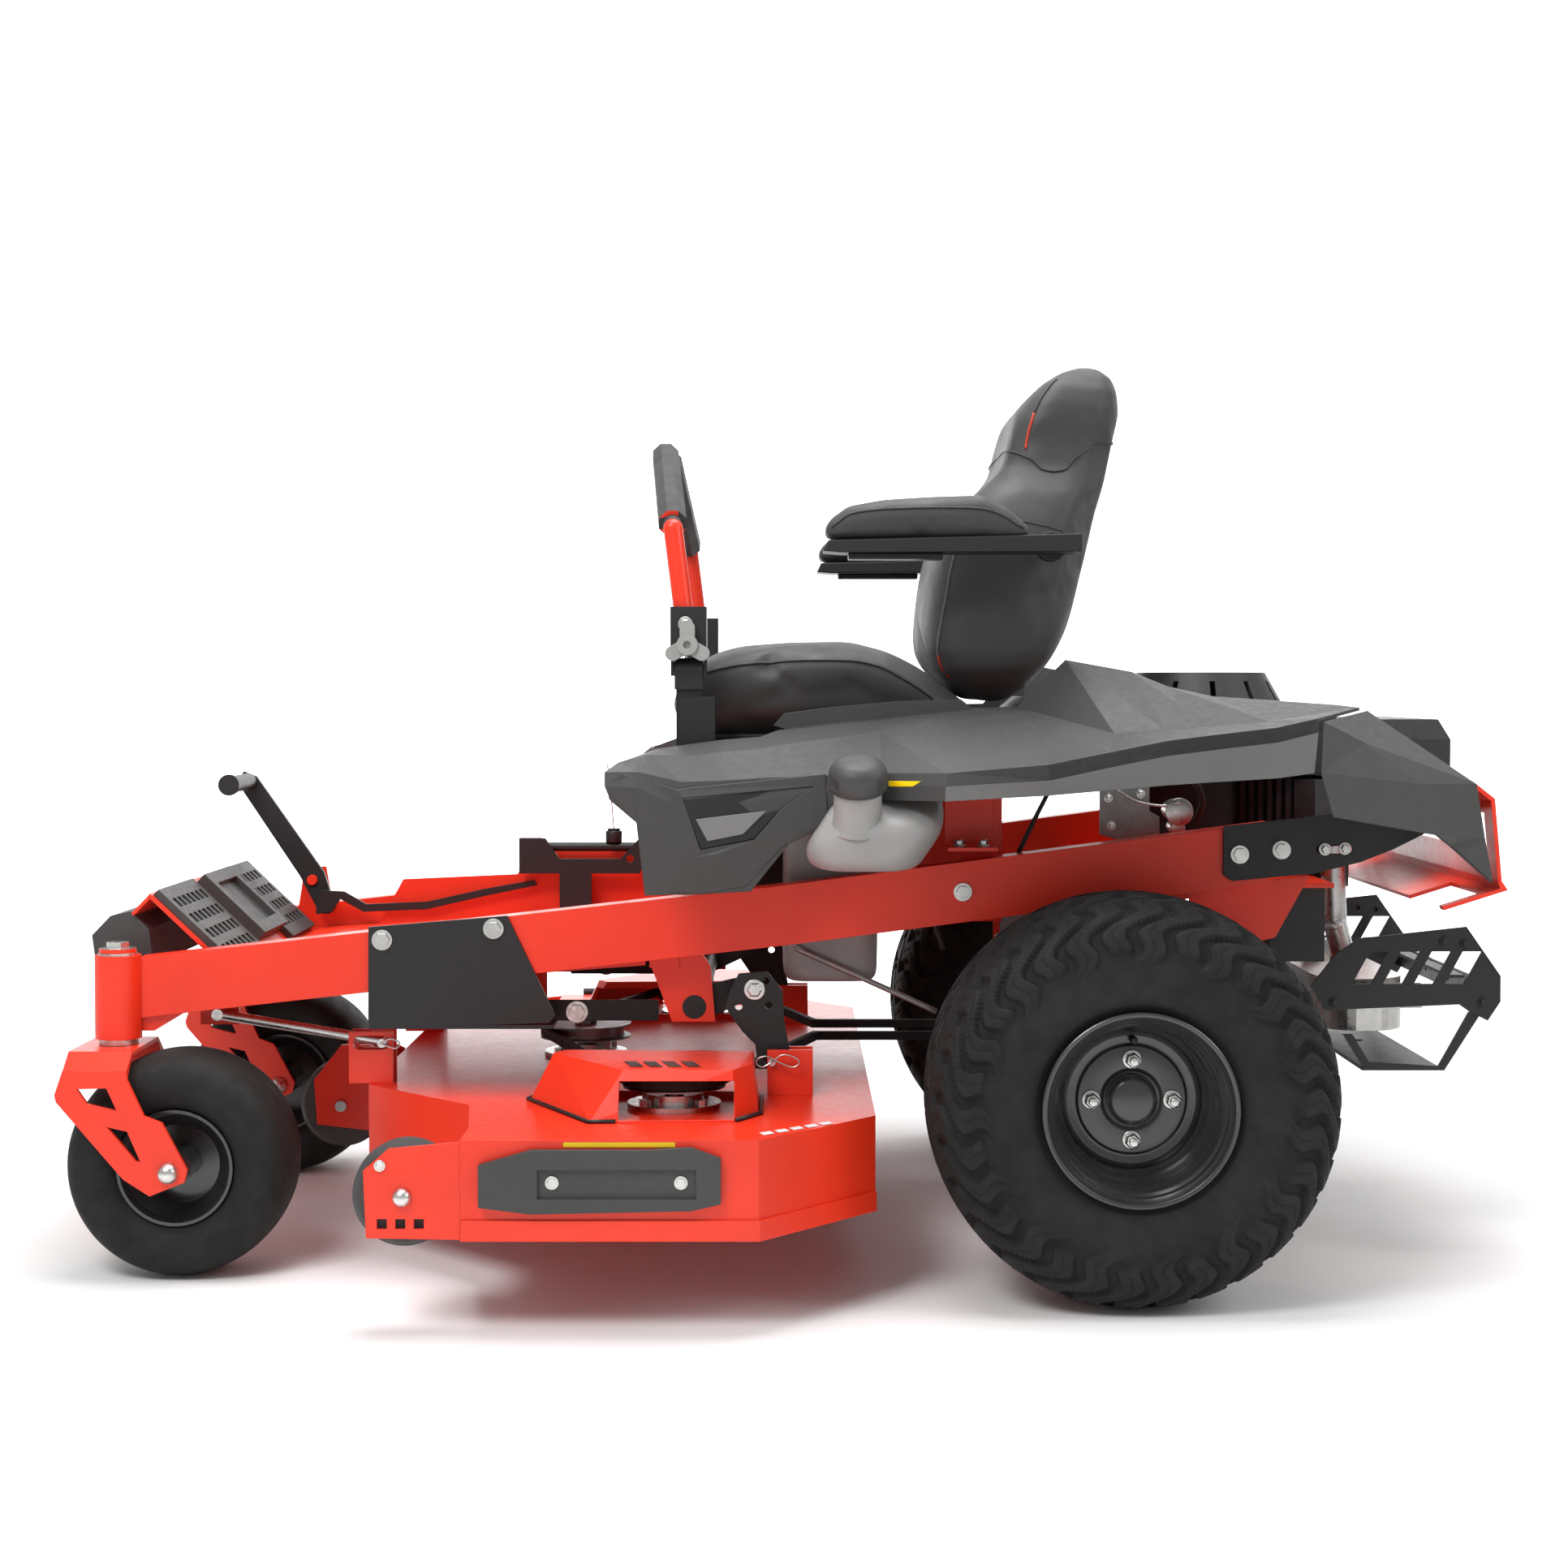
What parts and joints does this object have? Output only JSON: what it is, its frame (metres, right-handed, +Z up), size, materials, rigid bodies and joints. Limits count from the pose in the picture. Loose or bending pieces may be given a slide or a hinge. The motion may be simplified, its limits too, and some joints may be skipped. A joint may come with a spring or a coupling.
{
  "type": "zero turn mower",
  "caption": "Ride-on zero turn mower with two lap bars, caster front wheels, lugged drive wheels, a belly cutting deck, a high-back seat and a rear engine.",
  "frame": {"origin": "on the ground under the middle of the whole machine's box, chute lowered", "axes": "+X to the rear of the machine, -Y to the operator's left, +Z up"},
  "size_m": [1.915, 1.5754, 1.238],
  "materials": {
    "red_paint": "gloss powder coat",
    "black_paint": "satin powder coat",
    "grey_plastic": "fine moulded grain",
    "tank_plastic": "translucent moulded polyethylene",
    "cap_plastic": "moulded",
    "engine_casting": "black painted casting",
    "engine_shroud": "satin",
    "muffler_metal": "aluminised steel",
    "battery_case": "moulded",
    "transaxle_casting": "as cast",
    "zinc": "zinc plated",
    "rim_paint": "gloss black",
    "tyre_rubber": "matt rubber",
    "knob_plastic": "moulded",
    "seat_vinyl": "grained vinyl over foam",
    "belt_rubber": "matt rubber",
    "blade_steel": "bare steel",
    "pulley_steel": "bare steel",
    "wheel_plastic": "solid moulded wheel",
    "chute_rubber": "flexible moulded",
    "pto_yellow": "moulded"
  },
  "bodies": {
    "chassis": {"main_frame": "red_paint", "floor_pan": "red_paint", "footrest_trim": "grey_plastic", "frame_plates": "black_paint", "engine_guard": "black_paint", "seat_frame": "red_paint", "fender_left": "grey_plastic", "fender_right": "grey_plastic", "rear_cowl": "grey_plastic", "rear_bumper": "red_paint", "fuel_tank": "tank_plastic", "engine_block": "engine_casting", "engine_shroud": "engine_shroud", "muffler": "muffler_metal", "battery": "battery_case", "transaxles": "transaxle_casting", "frame_hardware": "zinc"},
    "fuel_cap": {"fuel_cap": "cap_plastic"},
    "caster_fork_left": {"caster_fork_left": "red_paint"},
    "caster_fork_right": {"caster_fork_right": "red_paint"},
    "caster_wheel_left": {"caster_rim_left": "rim_paint", "caster_tyre_left": "tyre_rubber"},
    "caster_wheel_right": {"caster_rim_right": "rim_paint", "caster_tyre_right": "tyre_rubber"},
    "drive_wheel_left": {"drive_rim_left": "rim_paint", "drive_tyre_left": "tyre_rubber"},
    "drive_wheel_right": {"drive_rim_right": "rim_paint", "drive_tyre_right": "tyre_rubber"},
    "control_arm_left": {"control_arm_left": "black_paint"},
    "control_arm_right": {"control_arm_right": "black_paint"},
    "lap_bar_left": {"lap_bar_left": "red_paint"},
    "lap_bar_right": {"lap_bar_right": "red_paint"},
    "lap_knob_left": {"lap_knob_left": "knob_plastic"},
    "lap_knob_right": {"lap_knob_right": "knob_plastic"},
    "seat_pan": {"seat_pan": "black_paint"},
    "seat": {"seat_cushion": "seat_vinyl", "seat_back": "seat_vinyl"},
    "armrest_left": {"armrest_left": "seat_vinyl"},
    "armrest_right": {"armrest_right": "seat_vinyl"},
    "deck": {"deck_shell": "red_paint", "deck_bumper": "grey_plastic", "belt_covers": "red_paint", "deck_hardware": "zinc", "deck_belt": "belt_rubber"},
    "spindle_left": {"spindle_left": "blade_steel"},
    "spindle_centre": {"spindle_centre": "blade_steel"},
    "spindle_right": {"spindle_right": "blade_steel"},
    "scalp_wheel_left": {"scalp_wheel_left": "wheel_plastic"},
    "scalp_wheel_centre": {"scalp_wheel_centre": "wheel_plastic"},
    "scalp_wheel_right": {"scalp_wheel_right": "wheel_plastic"},
    "discharge_chute": {"discharge_chute": "chute_rubber"},
    "lift_shaft": {"lift_shaft": "black_paint"},
    "drop_links": {"drop_links": "black_paint"},
    "lift_pedal": {"lift_pedal": "black_paint"},
    "lift_link": {"lift_link": "black_paint"},
    "front_links": {"front_links": "zinc"},
    "crank_pulley": {"crank_pulley": "pulley_steel"},
    "throttle_lever": {"throttle_lever": "black_paint"},
    "pto_knob": {"pto_knob": "pto_yellow"},
    "ignition_key": {"ignition_key": "zinc"}
  },
  "joints": [
    {"name": "caster_swivel_left", "type": "hinge", "parent": "chassis", "child": "caster_fork_left", "pos_m": [-0.8965, -0.44365, 0.31], "axis": [0, 0, 1], "continuous": true},
    {"name": "caster_roll_left", "type": "hinge", "parent": "caster_fork_left", "child": "caster_wheel_left", "pos_m": [-0.8095, -0.44365, 0.148], "axis": [0, 1, 0], "continuous": true},
    {"name": "drive_roll_left", "type": "hinge", "parent": "chassis", "child": "drive_wheel_left", "pos_m": [0.4185, -0.58865, 0.258], "axis": [0, 1, 0], "continuous": true},
    {"name": "control_left", "type": "hinge", "parent": "chassis", "child": "control_arm_left", "pos_m": [-0.1285, -0.38865, 0.6], "axis": [0, 1, 0], "range_deg": [-12, 12]},
    {"name": "lap_bar_swing_left", "type": "hinge", "parent": "control_arm_left", "child": "lap_bar_left", "pos_m": [-0.1435, -0.38865, 0.8], "axis": [1, 0, 0], "range_deg": [0, 45]},
    {"name": "lap_knob_turn_left", "type": "hinge", "parent": "lap_bar_left", "child": "lap_knob_left", "pos_m": [-0.1445, -0.38865, 0.829], "axis": [0, 1, 0], "continuous": true},
    {"name": "armrest_fold_left", "type": "hinge", "parent": "seat", "child": "armrest_left", "pos_m": [0.3415, -0.36765, 0.961], "axis": [0, 1, 0], "range_deg": [0, 100]},
    {"name": "caster_swivel_right", "type": "hinge", "parent": "chassis", "child": "caster_fork_right", "pos_m": [-0.8965, 0.23635, 0.31], "axis": [0, 0, 1], "continuous": true},
    {"name": "caster_roll_right", "type": "hinge", "parent": "caster_fork_right", "child": "caster_wheel_right", "pos_m": [-0.8095, 0.23635, 0.148], "axis": [0, 1, 0], "continuous": true},
    {"name": "drive_roll_right", "type": "hinge", "parent": "chassis", "child": "drive_wheel_right", "pos_m": [0.4185, 0.38135, 0.258], "axis": [0, 1, 0], "continuous": true},
    {"name": "control_right", "type": "hinge", "parent": "chassis", "child": "control_arm_right", "pos_m": [-0.1285, 0.18135, 0.6], "axis": [0, 1, 0], "range_deg": [-12, 12]},
    {"name": "lap_bar_swing_right", "type": "hinge", "parent": "control_arm_right", "child": "lap_bar_right", "pos_m": [-0.1435, 0.18135, 0.8], "axis": [1, 0, 0], "range_deg": [-45, 0]},
    {"name": "lap_knob_turn_right", "type": "hinge", "parent": "lap_bar_right", "child": "lap_knob_right", "pos_m": [-0.1445, 0.18135, 0.829], "axis": [0, 1, 0], "continuous": true},
    {"name": "armrest_fold_right", "type": "hinge", "parent": "seat", "child": "armrest_right", "pos_m": [0.3415, 0.16035, 0.961], "axis": [0, 1, 0], "range_deg": [0, 100]},
    {"name": "seat_tilt", "type": "hinge", "parent": "chassis", "child": "seat_pan", "pos_m": [-0.1445, -0.10365, 0.693], "axis": [0, 1, 0], "range_deg": [-28, 0]},
    {"name": "seat_slide", "type": "slide", "parent": "seat_pan", "child": "seat", "axis": [1, 0, 0], "range_m": [-0.04, 0.04]},
    {"name": "deck_lift", "type": "slide", "parent": "chassis", "child": "deck", "axis": [0, 0, 1], "range_m": [-0.08, 0], "deforming": ["deck_belt"]},
    {"name": "lift_shaft_turn", "type": "hinge", "parent": "chassis", "child": "lift_shaft", "pos_m": [-0.1365, -0.10365, 0.345], "axis": [0, 1, 0], "range_deg": [0, 57]},
    {"name": "drop_link_swing", "type": "hinge", "parent": "lift_shaft", "child": "drop_links", "pos_m": [-0.0555, -0.10365, 0.373], "axis": [0, 1, 0], "range_deg": [-57, 0]},
    {"name": "lift_pedal_swing", "type": "hinge", "parent": "chassis", "child": "lift_pedal", "pos_m": [-0.7595, 0.17635, 0.469], "axis": [0, 1, 0], "range_deg": [0, 41]},
    {"name": "lift_link_slide", "type": "slide", "parent": "chassis", "child": "lift_link", "axis": [1, 0, 0], "range_m": [-0.031, 0]},
    {"name": "front_link_swing", "type": "hinge", "parent": "chassis", "child": "front_links", "pos_m": [-0.7865, -0.10365, 0.328], "axis": [0, 1, 0], "range_deg": [0, 22]},
    {"name": "crank_turn", "type": "hinge", "parent": "chassis", "child": "crank_pulley", "pos_m": [0.5895, -0.10365, 0.3], "axis": [0, 0, 1], "continuous": true},
    {"name": "spindle_left_turn", "type": "hinge", "parent": "deck", "child": "spindle_left", "pos_m": [-0.1575, -0.53965, 0.2], "axis": [0, 0, 1], "continuous": true},
    {"name": "spindle_centre_turn", "type": "hinge", "parent": "deck", "child": "spindle_centre", "pos_m": [-0.3065, -0.10365, 0.2], "axis": [0, 0, 1], "continuous": true},
    {"name": "spindle_right_turn", "type": "hinge", "parent": "deck", "child": "spindle_right", "pos_m": [-0.1575, 0.33235, 0.2], "axis": [0, 0, 1], "continuous": true},
    {"name": "scalp_wheel_left_roll", "type": "hinge", "parent": "deck", "child": "scalp_wheel_left", "pos_m": [-0.4705, -0.73765, 0.168], "axis": [0, 1, 0], "continuous": true},
    {"name": "scalp_wheel_centre_roll", "type": "hinge", "parent": "deck", "child": "scalp_wheel_centre", "pos_m": [-0.6565, -0.10365, 0.168], "axis": [0, 1, 0], "continuous": true},
    {"name": "scalp_wheel_right_roll", "type": "hinge", "parent": "deck", "child": "scalp_wheel_right", "pos_m": [-0.4705, 0.53035, 0.168], "axis": [0, 1, 0], "continuous": true},
    {"name": "chute_swing", "type": "hinge", "parent": "deck", "child": "discharge_chute", "pos_m": [-0.1715, 0.57635, 0.24], "axis": [1, 0, 0], "range_deg": [0, 100]},
    {"name": "fuel_cap_turn", "type": "hinge", "parent": "chassis", "child": "fuel_cap", "pos_m": [0.0755, -0.61565, 0.64], "axis": [0, -0.342, 0.9397], "continuous": true},
    {"name": "throttle_swing", "type": "hinge", "parent": "chassis", "child": "throttle_lever", "pos_m": [0.1335, 0.24435, 0.738], "axis": [0, 1, 0], "range_deg": [-25, 25]},
    {"name": "pto_pull", "type": "slide", "parent": "chassis", "child": "pto_knob", "axis": [0, 0, 1], "range_m": [0, 0.018]},
    {"name": "key_turn", "type": "hinge", "parent": "chassis", "child": "ignition_key", "pos_m": [0.0935, 0.29635, 0.78], "axis": [0, 0, 1], "range_deg": [0, 120]}
  ],
  "couplings": [
    {"joint": "lift_shaft_turn", "follows": "deck_lift", "rad_per_m": -12.26},
    {"joint": "drop_link_swing", "follows": "deck_lift", "rad_per_m": 12.26},
    {"joint": "lift_pedal_swing", "follows": "deck_lift", "rad_per_m": -8.727},
    {"joint": "lift_link_slide", "follows": "deck_lift", "ratio": 0.375},
    {"joint": "front_link_swing", "follows": "deck_lift", "rad_per_m": -4.71},
    {"joint": "spindle_left_turn", "follows": "crank_turn", "ratio": 1},
    {"joint": "spindle_centre_turn", "follows": "crank_turn", "ratio": 1},
    {"joint": "spindle_right_turn", "follows": "crank_turn", "ratio": 1}
  ]
}
